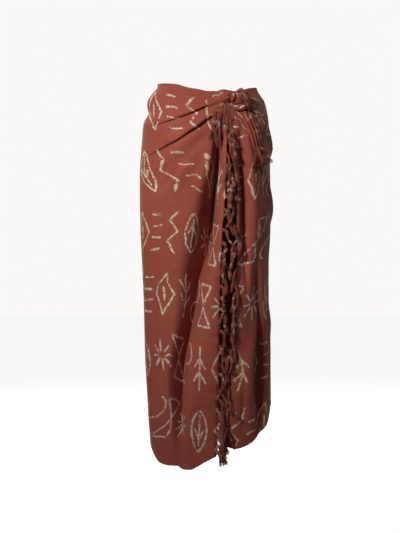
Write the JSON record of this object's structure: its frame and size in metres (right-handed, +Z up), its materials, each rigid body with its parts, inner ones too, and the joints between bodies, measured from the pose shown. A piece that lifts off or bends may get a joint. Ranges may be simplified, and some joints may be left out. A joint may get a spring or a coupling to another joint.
{
  "type": "sarong",
  "caption": "Wrapped cloth skirt in its worn, hollow shape, knotted at one side of the front, with fringed ends beside an open slit.",
  "frame": {"origin": "middle of the waist opening at the height of the waist edge, where the wearer holds the cloth up", "axes": "+Z up out of the waist, +X to the right as seen from the front, -Y towards a viewer who looks at the knot"},
  "size_m": [0.3709, 0.2913, 1.053],
  "materials": {
    "cloth": "thin plain-woven rayon, dyed rust brown with a cream resist print",
    "yarn": "twisted tassels of the cloth's own rust yarn, with a few cream threads"
  },
  "bodies": {
    "root": {"front_wrap": "cloth", "back_wrap": "cloth", "side_wrap": "cloth", "knot_back": "cloth", "tie_flap": "cloth", "tie_tail": "cloth", "knot_band": "cloth", "knot_tuft": "yarn", "flap_fringe": "yarn", "tail_fringe": "yarn", "left_fringe": "yarn", "right_fringe": "yarn"}
  },
  "joints": []
}
